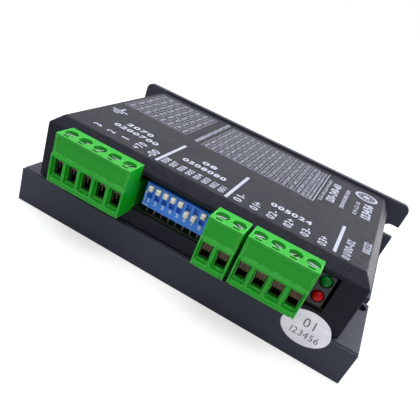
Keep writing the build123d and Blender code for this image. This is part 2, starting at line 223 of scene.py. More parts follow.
class EffectShelf:
    """Builds each shared node group once and hands it out."""

    def __init__(self) -> None:
        """Start with no group built."""
        self.groups: dict[Effect, Tree] = {}

    def get(self, effect: Effect) -> Tree:
        """Hand out the group of an effect, building it on first use.

        Args:
            effect: the effect wanted.

        Returns:
            The effect's node group.
        """
        if effect not in self.groups:
            makers = {
                Effect.GRAIN: self._grain,
                Effect.WRINKLE: self._wrinkle,
                Effect.WEAR_AND_HIGHLIGHT: self._wear,
                Effect.DUST: self._dust,
            }
            self.groups[effect] = makers[effect](effect.value)
        return self.groups[effect]

    def _begin(
        self, name: str, inputs: dict[str, float], outputs: tuple[str, ...]
    ) -> tuple[NodeBook, dict[str, Socket], dict[str, Socket]]:
        """Open a group with a vector input, its value inputs and its value outputs.

        Args:
            name: the group's name.
            inputs: default value of each value input.
            outputs: names of the value outputs.

        Returns:
            The group's node book, and by name what it is given and what it puts out.
        """
        tree = bpy.data.node_groups.new(name, "ShaderNodeTree")
        tree.interface.new_socket("Vector", in_out="INPUT", socket_type="NodeSocketVector")
        for label, value in inputs.items():
            kind = "NodeSocketFloat"
            socket = tree.interface.new_socket(label, in_out="INPUT", socket_type=kind)
            socket.default_value = value
        for label in outputs:
            tree.interface.new_socket(label, in_out="OUTPUT", socket_type="NodeSocketFloat")
        book = NodeBook(tree)
        return book, book.add("NodeGroupInput").outputs, book.add("NodeGroupOutput").inputs

    def _grain(self, name: str) -> Tree:
        """Make the fine grain of a moulded or drawn surface, with a slow drift of tone.

        Args:
            name: the group's name.

        Returns:
            The group.
        """
        fine_share, slow_share = 0.35, 0.65
        inputs = {"Scale": 4000.0, "Drift": 60.0}
        book, given, result = self._begin(name, inputs, ("Height", "Tone"))
        fine = book.noise(given["Vector"], given["Scale"], 3.0, 0.6)
        slow = book.noise(given["Vector"], given["Drift"], 4.0, 0.55)
        drift = book.ramp(slow, (0.3, 0.7), (0.0, slow_share))
        book.join(fine, result["Height"])
        book.join(book.sum("MULTIPLY_ADD", fine, fine_share, drift), result["Tone"])
        return book.tree

    def _wrinkle(self, name: str) -> Tree:
        """Make a lace of soft ridges, as a wrinkle powder coat sets; its tone is painted sheen on
        the ridges and painted shade in the hollows.

        Args:
            name: the group's name.

        Returns:
            The group.
        """
        ridge_width, cell_share = 0.16, 0.6
        book, given, result = self._begin(name, {"Scale": 900.0}, ("Height", "Tone"))
        bend = book.noise(given["Vector"], given["Scale"], 2.0, distortion=1.2)
        cells = book.add("TexVoronoi", feature="SMOOTH_F1", Smoothness=0.6)
        book.join(given["Vector"], cells.inputs["Vector"])
        book.join(given["Scale"], cells.inputs["Scale"])
        ridge = book.sum("ABSOLUTE", book.sum("SUBTRACT", bend, 0.5))
        lace = book.ramp(ridge, (0.0, ridge_width), (1.0, 0.0))
        height = book.sum("MULTIPLY_ADD", cells.outputs["Distance"], cell_share, lace)
        book.join(height, result["Height"])
        # Tone follows ridge height: lighter on ridges as painted sheen, darker in hollows as
        # painted shade.
        book.join(book.ramp(height, (0.2, 1.4)), result["Tone"])
        return book.tree

    def _wear(self, name: str) -> Tree:
        """Make a mask of the outer edges, broken up by noise, for edge wear and for a painted
        highlight along rims.

        Args:
            name: the group's name.

        Returns:
            The group.
        """
        flat, turned, least_wear = 0.999, 0.86, 0.15
        inputs = {"Width": 0.0003, "Breakup": 500.0, "Amount": 0.5}
        book, given, result = self._begin(name, inputs, ("Mask",))
        bevel = book.add("Bevel", samples=4)
        book.join(given["Width"], bevel.inputs["Radius"])
        turn = book.add("VectorMath", operation="DOT_PRODUCT")
        book.join(bevel.outputs["Normal"], turn.inputs[0])
        book.join(book.add("NewGeometry").outputs["Normal"], turn.inputs[1])
        edge = book.ramp(turn.outputs["Value"], (flat, turned))
        noise = book.noise(given["Vector"], given["Breakup"], 4.0, 0.7)
        patches = book.ramp(noise, (0.38, 0.66), (least_wear, 1.0))
        worn_and_lit = book.sum("MULTIPLY", edge, patches)
        book.join(book.sum("MULTIPLY", worn_and_lit, given["Amount"]), result["Mask"])
        return book.tree

    def _dust(self, name: str) -> Tree:
        """Make a mask of dust on the faces that look up.

        Args:
            name: the group's name.

        Returns:
            The group.
        """
        least_dust = 0.15
        inputs = {"Scale": 260.0, "Amount": 0.1}
        book, given, result = self._begin(name, inputs, ("Mask",))
        above = book.ramp(book.facing().outputs["Z"], (0.2, 1.0), (least_dust, 1.0))
        noise = book.noise(given["Vector"], given["Scale"], 6.0, 0.7)
        settled = book.sum("MULTIPLY", above, book.ramp(noise, (0.35, 0.75)))
        book.join(book.sum("MULTIPLY", settled, given["Amount"]), result["Mask"])
        return book.tree


SHELF = EffectShelf()


# --- finishes ------------------------------------------------------------------------------------


def start_material(name: str) -> tuple[bpy.types.Material, NodeBook, Node]:
    """Start a material that holds one Principled shader.

    Args:
        name: the material's name.

    Returns:
        The material, its node book and the shader.
    """
    made = bpy.data.materials.new(name)
    made.use_nodes = True
    made.node_tree.nodes.clear()
    book = NodeBook(made.node_tree)
    out = book.add("OutputMaterial")
    shader = book.add("BsdfPrincipled")
    book.join(shader.outputs[0], out.inputs[0])
    return made, book, shader


@dataclass(frozen=True)
class Surface:
    """What every finish has: a name, two tones and one shader."""

    name: str
    base: Colour
    shade: Colour

    def material(self) -> bpy.types.Material:
        """Give this finish's material, made on first use.

        Returns:
            The material.
        """
        made = bpy.data.materials.get(self.name)
        if made is None:
            made, book, shader = start_material(self.name)
            self.dress(book, shader, book.add("TexCoord").outputs["Object"])
        return made

    def dress(self, book: NodeBook, shader: Node, place: Socket) -> None:
        """Wire the shader, which each kind of finish does in its own way."""
        raise NotImplementedError

    @staticmethod
    def emboss(book: NodeBook, shader: Node, height: Socket, depth: float) -> None:
        """Drive the shader's normal from a height.

        Args:
            book: the material's nodes.
            shader: the Principled node.
            height: the height's socket.
            depth: how deep a height of 1 is, in metres.
        """
        bump = book.add("Bump", Strength=1.0, Distance=depth)
        book.join(height, bump.inputs["Height"])
        book.join(bump.outputs[0], shader.inputs["Normal"])


@dataclass(frozen=True)
class Finish(Surface):
    """A solid surface: grain, lighter edges and a little dust.  The lighter edges are wear on most
    finishes and a painted highlight on the green plug.  Depths and widths are in metres.
    """

    roughness: float = 0.45
    spread: float = 0.1
    metallic: float = 0.0
    coat: float = 0.0
    coat_roughness: float = 0.12
    gloss: float = 0.5
    grain_scale: float = 4000.0
    grain_depth: float = 0.00002
    grain_stretch: Triple = (1.0, 1.0, 1.0)
    drift: float = 60.0
    wear: Colour = (0.5, 0.5, 0.5)
    wear_amount: float = 0.0
    wear_width: float = 0.0003
    dust: float = 0.04
    dust_tone: Colour = srgb(196, 192, 184)
    dust_dulling: float = 0.5
    effect: Effect = Effect.GRAIN

    def surface(self, book: NodeBook, place: Socket) -> tuple[Socket, Socket]:
        """Place the grain or wrinkle group.

        Args:
            book: the material's nodes.
            place: object coordinates.

        Returns:
            The height and tone sockets.
        """
        stretch = book.add("Mapping", Scale=self.grain_stretch)
        book.join(place, stretch.inputs["Vector"])
        group = book.add("Group", node_tree=SHELF.get(self.effect))
        group.inputs["Scale"].default_value = self.grain_scale
        if self.effect is Effect.GRAIN:
            group.inputs["Drift"].default_value = self.drift
        book.join(stretch.outputs[0], group.inputs["Vector"])
        return group.outputs["Height"], group.outputs["Tone"]

    def tint(self, book: NodeBook, place: Socket, tone: Socket) -> Socket:
        """Return the colour before wear and dust."""
        return book.blend(tone, self.base, self.shade)

    def mask(self, book: NodeBook, place: Socket, effect: Effect, **values: float) -> Socket:
        """Place a wear or dust group.

        Args:
            book: the material's nodes.
            place: object coordinates.
            effect: the effect.
            values: its input values.

        Returns:
            The mask's socket.
        """
        group = book.add("Group", node_tree=SHELF.get(effect))
        for label, value in values.items():
            group.inputs[label].default_value = value
        book.join(place, group.inputs["Vector"])
        return group.outputs["Mask"]

    def dress(self, book: NodeBook, shader: Node, place: Socket) -> None:
        """Wire colour, roughness and normal into the shader.

        Args:
            book: the material's nodes.
            shader: the Principled node.
            place: object coordinates.
        """
        for label, value in (
            ("Metallic", self.metallic), ("Coat Weight", self.coat),
            ("Coat Roughness", self.coat_roughness), ("Specular IOR Level", self.gloss),
        ):
            shader.inputs[label].default_value = value
        height, tone = self.surface(book, place)
        colour = self.tint(book, place, tone)
        half = self.spread / 2
        rough = book.ramp(tone, (0.0, 1.0), (self.roughness - half, self.roughness + half))
        # Lighter outer edges: wear, and on the green plug a painted highlight along the rims.
        if self.wear_amount:
            worn_and_lit = self.mask(
                book, place, Effect.WEAR_AND_HIGHLIGHT, Width=self.wear_width, Amount=self.wear_amount
            )
            colour = book.blend(worn_and_lit, colour, self.wear)
        if self.dust:
            dusty = self.mask(book, place, Effect.DUST, Amount=self.dust)
            colour = book.blend(dusty, colour, self.dust_tone)
            rough = book.sum("MULTIPLY_ADD", dusty, self.dust_dulling, rough)
        book.join(colour, shader.inputs["Base Color"])
        book.join(rough, shader.inputs["Roughness"])
        self.emboss(book, shader, height, self.grain_depth)


@dataclass(frozen=True)
class BoardFinish(Finish):
    """Solder mask over copper tracks; the sideways laminate edge is painted dark as shade, for the
    shadow it lies in under the cover.
    """

    track: Colour = srgb(18, 62, 40)
    # Laminate edge tone: painted shade, darker than the bare laminate.
    edge: Colour = srgb(44, 44, 34)
    track_scale: float = 420.0

    def tint(self, book: NodeBook, place: Socket, tone: Socket) -> Socket:
        """Colour the mask and its tracks, and paint the laminate dark as shade where the face looks
        sideways.

        Args:
            book: the material's nodes.
            place: object coordinates.
            tone: the grain's tone.

        Returns:
            The colour's socket.
        """
        mask = book.blend(tone, self.base, self.shade)
        bricks = book.add(
            "TexBrick", Scale=self.track_scale, offset=0.37,
            Mortar_Size=0.07, Brick_Width=1.7, Row_Height=0.6,
        )
        book.join(place, bricks.inputs["Vector"])
        tracks = book.blend(bricks.outputs["Fac"], self.track, mask)
        # Sideways faces take the dark edge tone: painted shade.
        flat = book.ramp(book.sum("ABSOLUTE", book.facing().outputs["Z"]), (0.4, 0.7))
        return book.blend(flat, self.edge, tracks)


@dataclass(frozen=True)
class FoilFinish(Finish):
    """Crumpled satin foil, with darker crease lines painted on as shade."""

    crease_scale: float = 900.0
    crease_width: float = 0.12
    crease_shade_share: float = 0.22

    def dress(self, book: NodeBook, shader: Node, place: Socket) -> None:
        """Dress the foil as any surface, then paint fine crease lines over its colour as painted
        shade.

        Args:
            book: the material's nodes.
            shader: the Principled node.
            place: object coordinates.
        """
        super().dress(book, shader, place)
        # Crease lines darken the colour towards the second tone: painted shade.
        folds = book.add("TexVoronoi", feature="DISTANCE_TO_EDGE", Scale=self.crease_scale)
        book.join(place, folds.inputs["Vector"])
        crease_shade = book.ramp(folds.outputs["Distance"], (0.0, self.crease_width), (1.0, 0.0))
        share = book.sum("MULTIPLY", crease_shade, self.crease_shade_share)
        plain = shader.inputs["Base Color"].links[0].from_socket
        book.join(book.blend(share, plain, self.shade), shader.inputs["Base Color"])


@dataclass(frozen=True)
class ResinFinish(Surface):
    """Tinted clear resin of a lamp."""

    ior: float = 1.35
    clear: float = 0.08
    gloss: float = 0.3
    cloud_scale: float = 700.0
    ripple: float = 0.000006

    def dress(self, book: NodeBook, shader: Node, place: Socket) -> None:
        """Cloud the resin's colour and roughness, and ripple it faintly.

        Args:
            book: the material's nodes.
            shader: the Principled node.
            place: object coordinates.
        """
        for label, value in (
            ("IOR", self.ior), ("Transmission Weight", self.clear),
            ("Specular IOR Level", self.gloss),
        ):
            shader.inputs[label].default_value = value
        cloud = book.noise(place, self.cloud_scale, 3.0)
        tone = book.ramp(cloud, (0.35, 0.65))
        book.join(book.blend(tone, self.base, self.shade), shader.inputs["Base Color"])
        book.join(book.ramp(cloud, (0.3, 0.7), (0.08, 0.16)), shader.inputs["Roughness"])
        self.emboss(book, shader, cloud, self.ripple)


def ink(
    name: str, base: Colour, shade: Colour, roughness: float = 0.5, drift: float = 500.0
) -> Finish:
    """Mix a thin print, flat and free of dust.

    Args:
        name: the ink's name.
        base: its first tone.
        shade: its second tone.
        roughness: how dull it is.
        drift: scale of the slow drift of tone.

    Returns:
        The finish.
    """
    return Finish(
        name, base, shade, roughness,
        grain_scale=5000.0, grain_depth=0.000002, drift=drift, dust=0.0,
    )


def metal(
    name: str, base: Colour, shade: Colour, roughness: float, spread: float = 0.16,
    grain_scale: float = 2400.0, **values: object,
) -> Finish:
    """Plate a small metal part.

    Args:
        name: the plating's name.
        base: its first tone.
        shade: its second tone.
        roughness: how dull it is.
        spread: how far the roughness varies.
        grain_scale: scale of the grain.
        values: any other size of the finish.

    Returns:
        The finish.
    """
    return Finish(
        name, base, shade, roughness, spread, 1.0,
        grain_scale=grain_scale, **{"dust": 0.0, **values},
    )


ANODISED = Finish(
    "satin_black_anodising", srgb(50, 53, 66), srgb(60, 63, 77), 0.42, 0.12, gloss=0.2,
    grain_scale=3200.0, grain_depth=0.00001, grain_stretch=(0.04, 1.0, 1.0), drift=40.0,
    wear=srgb(140, 142, 150), wear_amount=0.35, wear_width=0.00025, dust=0.02,
)
# The lighter second tone falls on the wrinkle ridges as painted sheen.
POWDER = Finish(
    "wrinkle_black_powder", srgb(22, 24, 34), srgb(31, 33, 45), 0.38, 0.16, gloss=0.12,
    grain_scale=1400.0, grain_depth=0.00006, effect=Effect.WRINKLE,
    wear=srgb(92, 94, 104), wear_amount=0.45, wear_width=0.0005, dust=0.03,
)
# The plug's pale edge tone is a painted highlight along its rims, not wear.
PLUG_GREEN = Finish(
    "moulded_green", srgb(2, 152, 16), srgb(8, 164, 24), 0.36, gloss=0.3,
    grain_scale=2600.0, grain_depth=0.000006,
    wear=srgb(140, 230, 140), wear_amount=0.9, wear_width=0.0004, dust=0.02,
)
HEADER_GREEN = Finish(
    "header_green", srgb(6, 120, 20), srgb(12, 130, 28), 0.42,
    grain_scale=2600.0, grain_depth=0.000006, dust=0.05,
)
SWITCH_BLUE = Finish(
    "switch_blue_case", srgb(40, 118, 224), srgb(58, 134, 236), 0.4,
    grain_scale=3000.0, grain_depth=0.000005,
    wear=srgb(120, 160, 220), wear_amount=0.3, wear_width=0.00015, dust=0.05,
)
SLIDER_CREAM = Finish(
    "slider_cream", srgb(224, 218, 198), srgb(206, 196, 168),
    grain_scale=3000.0, grain_depth=0.000004, dust=0.0,
)
HOLDER_BLACK = Finish(
    "lamp_holder_black", srgb(30, 32, 40), srgb(40, 42, 50), 0.5,
    grain_scale=2600.0, grain_depth=0.000008, wear=srgb(90, 92, 100), wear_amount=0.25,
)
FINE_INK = ink("thin_grey_ink", srgb(172, 176, 192), srgb(150, 154, 172), 0.6)
INK = ink("pale_grey_ink", srgb(176, 180, 196), srgb(156, 160, 178), 0.6, 300.0)
WHITE_INK = ink("switch_white_ink", srgb(206, 226, 250), srgb(182, 208, 242))
DARK_INK = ink("dark_stamp_ink", srgb(84, 84, 92), srgb(108, 108, 116))
SCREW_NICKEL = metal(
    "bright_nickel", srgb(206, 214, 214), srgb(176, 184, 186), 0.24, 0.14, grain_depth=0.000004,
    drift=400.0, wear=srgb(240, 244, 244), wear_amount=0.4, wear_width=0.00012,
)
ZINC = metal(
    "zinc_plate", srgb(188, 190, 186), srgb(150, 154, 152), 0.3, grain_depth=0.000005,
    drift=300.0, wear=srgb(230, 230, 226), wear_amount=0.4, wear_width=0.00012, dust=0.02,
)
GUARD = metal(
    "dull_spring_leaf", srgb(98, 82, 70), srgb(60, 50, 42), 0.42, 0.2, 1800.0,
    grain_depth=0.000012, drift=700.0,
)
CONTACT = metal(
    "dull_contact", srgb(96, 90, 82), srgb(66, 60, 54), 0.4, grain_depth=0.000006, drift=500.0
)
DULL_PIN = metal(
    "dull_pin", srgb(110, 106, 98), srgb(40, 38, 36), 0.4, 0.2, 2600.0,
    grain_depth=0.000006, drift=900.0,
)
CLAMP = metal(
    "nickelled_clamp", srgb(112, 102, 92), srgb(80, 70, 62), 0.36,
    grain_depth=0.000005, drift=400.0,
)
TIN = metal(
    "tin_plate", srgb(196, 190, 176), srgb(160, 152, 138), 0.32, 0.14, 2600.0,
    grain_depth=0.000004, drift=400.0,
)
MASK_GREEN = BoardFinish(
    "solder_mask", srgb(8, 34, 22), srgb(12, 44, 28), 0.34, coat=0.2,
    grain_scale=2200.0, grain_depth=0.000006, dust=0.06,
)
CHIP = Finish(
    "moulded_epoxy", srgb(24, 24, 25), srgb(34, 34, 36), 0.6,
    grain_scale=4200.0, grain_depth=0.000012, dust=0.06,
)
SILICONE = Finish(
    "soft_silicone", srgb(150, 160, 168), srgb(166, 174, 180), 0.7,
    grain_scale=1500.0, dust=0.02,
)
SLEEVE = Finish(
    "shrink_sleeve", srgb(22, 26, 40), srgb(30, 34, 50), 0.25, coat=0.3,
    grain_scale=1600.0, grain_depth=0.000006, dust=0.05,
)
FERRITE = Finish(
    "pressed_ferrite", srgb(64, 64, 66), srgb(84, 84, 86), 0.75,
    grain_scale=3800.0, grain_depth=0.00003, dust=0.05,
)
RESISTOR = Finish(
    "resistor_coat", srgb(22, 22, 22), srgb(34, 34, 34), 0.35,
    grain_scale=3000.0, grain_depth=0.000006, dust=0.05,
)
FOIL = FoilFinish(
    "crumpled_foil", srgb(250, 248, 255), srgb(226, 223, 234), 0.4, 0.2, 0.35,
    grain_scale=420.0, grain_depth=0.00012, drift=200.0, dust=0.0,
)
RESIN_GREEN = ResinFinish("green_resin", srgb(0, 118, 40), srgb(0, 84, 28))
RESIN_RED = ResinFinish("red_resin", srgb(214, 0, 6), srgb(172, 0, 4))


# --- mesh tools ----------------------------------------------------------------------------------


def circle(steps: int) -> list[float]:
    """Return the angles of evenly spaced points round a circle."""
    return [2 * math.pi * i / steps for i in range(steps)]


class Piece:
    """One visible piece gathered as a mesh in millimetres."""

    MERGE = 0.0008
    BEVEL_PROFILE = 0.6
    BEVEL_ABOVE = 28.0
    SMOOTH_BELOW = 50.0
    FLAT_WEIGHT = 80

    def __init__(self, name: str) -> None:
        """Start an empty mesh under the piece's name."""
        self.name = name
        self.mesh = bmesh.new()

    def box(self, x: Span, y: Span, z: Span) -> None:
        """Add a closed block.

        Args:
            x: its low and high X.
            y: its low and high Y.
            z: its low and high Z.
        """
        size = Matrix.Diagonal((x[1] - x[0], y[1] - y[0], z[1] - z[0], 1.0))
        middle = Vector(((x[0] + x[1]) / 2, (y[0] + y[1]) / 2, (z[0] + z[1]) / 2))
        bmesh.ops.create_cube(self.mesh, size=1.0, matrix=Matrix.Translation(middle) @ size)

    def skin(self, rows: list[list[Corner]]) -> None:
        """Join each row of corners to the next, every row a closed loop.

        Args:
            rows: the rows, all of the same length.
        """
        for near, far in zip(rows, rows[1:]):
            for i in range(len(near)):
                j = (i + 1) % len(near)
                self.mesh.faces.new((near[i], near[j], far[j], far[i]))

    def solid(self, rings: list[list[Vector]]) -> None:
        """Skin a row of rings that have the same number of points, and cap both ends.

        Args:
            rings: the rings, each a closed loop.
        """
        rows = [[self.mesh.verts.new(p) for p in ring] for ring in rings]
        self.skin(rows)
        self.mesh.faces.new(list(reversed(rows[0])))
        self.mesh.faces.new(rows[-1])

    def lathe(self, centre: Vector, axis: Vector, profile: list[Span], steps: int) -> None:
        """Turn a profile round an axis.

        Args:
            centre: where the axis starts.
            axis: the axis direction.
            profile: (radius, distance along the axis) pairs, ends at a small radius.
            steps: sides of the turned shape.
        """
        across = axis.orthogonal().normalized()
        other = axis.cross(across)
        spokes = [(math.cos(a), math.sin(a)) for a in circle(steps)]
        self.solid([
            [centre + axis * d + across * (r * c) + other * (r * s) for c, s in spokes]
            for r, d in profile
        ])

    def soften(self, width: float, segments: int = 2) -> None:
        """Round the edges that turn sharply.

        Args:
            width: rounding width in millimetres.
            segments: faces across the rounding.
        """
        bmesh.ops.remove_doubles(self.mesh, verts=self.mesh.verts, dist=self.MERGE)
        self.mesh.normal_update()
        least = math.radians(self.BEVEL_ABOVE)
        sharp = [e for e in self.mesh.edges if e.is_manifold and e.calc_face_angle(0.0) > least]
        bmesh.ops.bevel(
            self.mesh, geom=sharp, offset=width, offset_type="OFFSET", segments=segments,
            profile=self.BEVEL_PROFILE, affect="EDGES", clamp_overlap=False, miter_outer="SHARP",
        )

    def finish(
        self, body: str, slot: str, finish: Surface, replaces: tuple[str, ...] = (),
        smooth: bool = True,
    ) -> bpy.types.Object:
        """Make the object, dress it and seat it on its body.

        Args:
            body: the CAD body it moves with.
            slot: not used.
            finish: its finish.
            replaces: CAD nodes it stands for.
            smooth: shade it smooth, with flat faces kept flat.

        Returns:
            The finished object.
        """
        bmesh.ops.recalc_face_normals(self.mesh, faces=self.mesh.faces)
        bmesh.ops.scale(self.mesh, vec=(MM, MM, MM), verts=self.mesh.verts)
        data = bpy.data.meshes.new(self.name)
        self.mesh.to_mesh(data)
        self.mesh.free()
        data.materials.append(finish.material())
        made = bpy.data.objects.new(self.name, data)
        bpy.context.scene.collection.objects.link(made)
        if smooth:
            data.shade_smooth()
            data.set_sharp_from_angle(angle=math.radians(self.SMOOTH_BELOW))
            even = made.modifiers.new("even_normals", "WEIGHTED_NORMAL")
            even.keep_sharp = True
            even.weight = self.FLAT_WEIGHT
        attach(made, body)
        if replaces:
            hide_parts(*replaces)
        LOG.info("piece %s on %s: %d faces", self.name, body, len(data.polygons))
        return made


def soft_copy(
    node: str, body: str, slot: str, finish: Surface, width: float, segments: int = 2
) -> None:
    """Stand a rounded-edge copy in for a CAD node.

    Args:
        node: the CAD node.
        body: the body it rides on.
        slot: not used; it is passed on to the piece, which ignores it.
        finish: its finish.
        width: edge rounding in millimetres.
        segments: faces across the rounding.
    """
    piece = Piece(node + "_shell")
    piece.mesh.from_mesh(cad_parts[node].data)
    bmesh.ops.scale(piece.mesh, vec=(1 / MM, 1 / MM, 1 / MM), verts=piece.mesh.verts)
    piece.soften(width, segments)
    piece.finish(body, slot, finish, (node,))


@dataclass(frozen=True)
class Glyph:
    """A numeral or sign cut at unit size."""

    points: list[Vector]
    faces: list[tuple[int, ...]]
    advance: float


class GlyphCase:
    """Flat numerals and signs, cut once from the built-in typeface and set many times."""

    CURVE_STEPS = 3
    BLANK = 0.3
    GAP = 0.09
    NUMERAL = 0.7

    def __init__(self) -> None:
        """Start with no glyph cut."""
        self.cut: dict[tuple[str, float], Glyph] = {}

    def glyph(self, sign: str, weight: float) -> Glyph:
        """Cut a sign at unit size, or hand out the one already cut.

        Args:
            sign: one numeral or sign.
            weight: outline growth, for bold.

        Returns:
            The cut sign.
        """
        key = (sign, weight)
        if key not in self.cut:
            curve = bpy.data.curves.new("cut", "FONT")
            curve.body = sign
            curve.resolution_u = self.CURVE_STEPS
            curve.offset = weight
            holder = bpy.data.objects.new("cut", curve)
            bpy.context.scene.collection.objects.link(holder)
            bpy.context.view_layer.update()
            shape = bpy.data.meshes.new_from_object(holder)
            points = [v.co.copy() for v in shape.vertices]
            faces = [tuple(f.vertices) for f in shape.polygons]
            width = max((p.x for p in points), default=self.BLANK)
            self.cut[key] = Glyph(points, faces, width + self.GAP)
            bpy.data.objects.remove(holder)
            bpy.data.meshes.remove(shape)
            bpy.data.curves.remove(curve)
        return self.cut[key]

    def set(
        self, piece: Piece, text: str, origin: Vector, along: Vector, up: Vector,
        length: float, height: float, weight: float,
    ) -> None:
        """Set one line of signs, stretched to a length and height.

        Args:
            piece: the piece it is added to.
            text: the signs.
            origin: start of the base line.
            along: reading direction.
            up: direction of the signs' tops.
            length: length of the line.
            height: height of a numeral.
            weight: outline growth.
        """
        signs = [self.glyph(sign, weight) for sign in text]
        wide = length / sum(sign.advance for sign in signs)
        tall = height / self.NUMERAL
        out = along.cross(up) * INK_THICK
        faces, corner = piece.mesh.faces, piece.mesh.verts.new
        pen = 0.0
        for sign in signs:
            low = [
                corner(origin + along * ((p.x + pen) * wide) + up * (p.y * tall))
                for p in sign.points
            ]
            high = [corner(v.co + out) for v in low]
            rims: dict[tuple[int, int], None] = {}
            for face in sign.faces:
                faces.new([high[i] for i in face])
                faces.new([low[i] for i in reversed(face)])
                for i, j in zip(face, face[1:] + face[:1]):
                    if (j, i) in rims:
                        del rims[(j, i)]
                    else:
                        rims[(i, j)] = None
            for i, j in rims:
                faces.new((low[i], low[j], high[j], high[i]))
            pen += sign.advance


GLYPHS = GlyphCase()


# --- the chassis ---------------------------------------------------------------------------------


@dataclass
class Heatsink:
    """Extruded L-shaped heatsink with fins below."""

    edge: float = 0.22

    def build(self) -> None:
        """Round its edges and anodise it."""
        soft_copy("heatsink", CHASSIS, "black_anodised_aluminium", ANODISED, self.edge)


class Reading(Enum):
    """Reading direction and direction of the signs' tops of a printed line."""

    ALONG = (X, Y)
    BACKWARD = (Y, -X)


@dataclass(frozen=True)
class PrintLine:
    """One line of numerals, measured from the cover's left end and front."""

    text: str
    base: float
    span: Span
    height: float
    weight: float = 0.02
    reading: Reading = Reading.BACKWARD


@dataclass(frozen=True)
class PrintTable:
    """A ruled table of short numbers, measured from the cover's left end and front."""

    x: Span
    y: Span
    columns: int
    rows: int
    height: float
    rule: float = 0.14
    margin: float = 0.12
    figures: int = 3
    weight: float = 0.015


def title(text: str, base: float, span: Span) -> PrintLine:
    """Return one large bold line that reads along the terminal row."""
    return PrintLine(text, base, span, 2.45, 0.04, Reading.ALONG)


def figures(draw: random.Random, count: int, signs: str = DIGITS) -> str:
    """Return a run of figures drawn at random."""
    return "".join(draw.choice(signs) for _ in range(count))


def series(
    texts: tuple[str, ...], first: float, step: float, span: Span, height: float
) -> tuple[PrintLine, ...]:
    """Space lines that read towards the back evenly along the terminal row.

    Args:
        texts: what each line says.
        first: base of the first line.
        step: distance from one base to the next.
        span: where each line starts and ends.
        height: height of a numeral.

    Returns:
        The lines.
    """
    return tuple(PrintLine(text, first + step * i, span, height) for i, text in enumerate(texts))


TOP_PRINT = (
    title("2070", 19.9, (21.9, 32.1)),
    title("0200700", 15.3, (19.8, 36.4)),
    title("08", 19.8, (50.5, 56.0)),
    title("0508080", 15.0, (45.5, 61.0)),
    title("005024", 15.2, (76.1, 89.7)),
    *series(("3", "2", "1"), 19.2, 5.04, (8.2, 10.4), 2.6),
    PrintLine("+70", 34.6, (6.0, 12.8), 2.7),
    PrintLine("-00", 39.6, (5.6, 12.4), 2.7),
    *series(tuple(f"{n:03d}" for n in range(8, 0, -1)), 44.1, 2.74, (6.5, 11.4), 1.9),
    *series(("01-", "01+", "02-", "02+", "03-", "03+"), 69.1, 5.26, (6.3, 12.8), 2.5),
    PrintLine("01/00-02", 102.6, (5.4, 19.4), 2.3),
    PrintLine("00232", 107.4, (15.4, 23.6), 2.3),
    PrintLine("120-240-60", 91.6, (41.0, 62.6), 2.7, 0.04),
    PrintLine("200/400/800/1600", 95.3, (40.6, 61.8), 1.4),
    PrintLine("0.9-1.2-1.8", 99.9, (41.0, 54.6), 1.4),
    PrintLine("123456", 104.5, (40.6, 56.8), 3.0, 0.04),
)
TABLES = (
    PrintTable((10.8, 36.3), (37.0, 68.5), 8, 5, 1.35),
    PrintTable((43.6, 81.4), (35.0, 69.0), 14, 6, 1.15),
)


